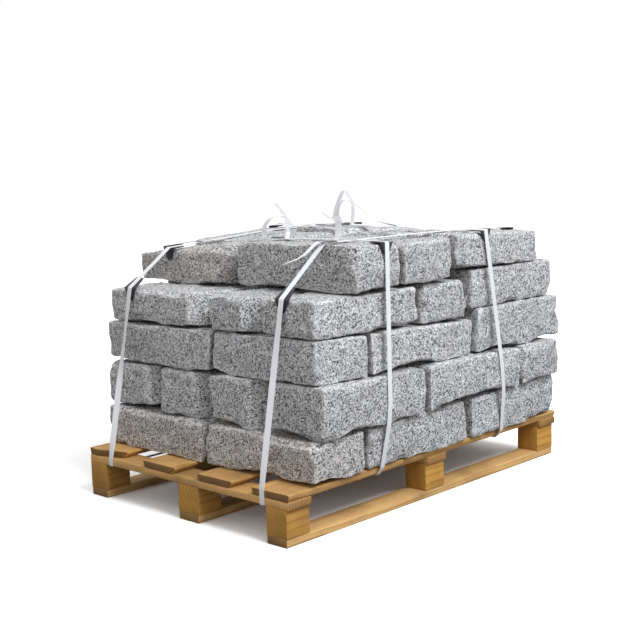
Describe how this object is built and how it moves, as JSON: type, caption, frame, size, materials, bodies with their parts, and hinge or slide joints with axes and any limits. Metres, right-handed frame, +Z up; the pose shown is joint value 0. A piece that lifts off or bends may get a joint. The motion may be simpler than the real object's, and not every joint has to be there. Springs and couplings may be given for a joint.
{
  "type": "pallet of granite kerb stones",
  "caption": "Hewn grey granite kerb stones stacked in courses on a timber block pallet, strapped both ways over plastic edge protectors.",
  "frame": {"origin": "on the floor, under the middle of the pallet", "axes": "+X runs along the pallet from its front end, where most of the deck boards' ends show, to its back end; +Y points to its left side; +Z is up"},
  "size_m": [1.2058, 0.8911, 0.8451],
  "materials": {
    "granite": "rough split granite, salt and pepper grain",
    "timber": "rough sawn softwood, weathered yellow brown",
    "strapping": "white corded polyester strapping",
    "protector": "black moulded plastic",
    "buckle": "galvanised wire"
  },
  "bodies": {
    "root": {"skid_board_right": "timber", "skid_board_middle": "timber", "skid_board_left": "timber", "block_front_right": "timber", "block_front_middle": "timber", "block_front_left": "timber", "stringer_front": "timber", "block_middle_right": "timber", "block_middle_middle": "timber", "block_middle_left": "timber", "stringer_middle": "timber", "block_back_right": "timber", "block_back_middle": "timber", "block_back_left": "timber", "stringer_back": "timber", "deck_board_1": "timber", "deck_board_2": "timber", "deck_board_3": "timber", "deck_board_4": "timber", "course_1": "granite", "course_2": "granite", "course_3": "granite", "course_4": "granite", "course_5": "granite", "strap_lengthwise_left": "strapping", "strap_lengthwise_right": "strapping", "strap_crosswise_front": "strapping", "strap_crosswise_back": "strapping", "edge_protectors_lengthwise_left": "protector", "edge_protectors_lengthwise_right": "protector", "edge_protectors_crosswise_front": "protector", "edge_protectors_crosswise_back": "protector", "strap_buckles": "buckle"}
  },
  "joints": []
}
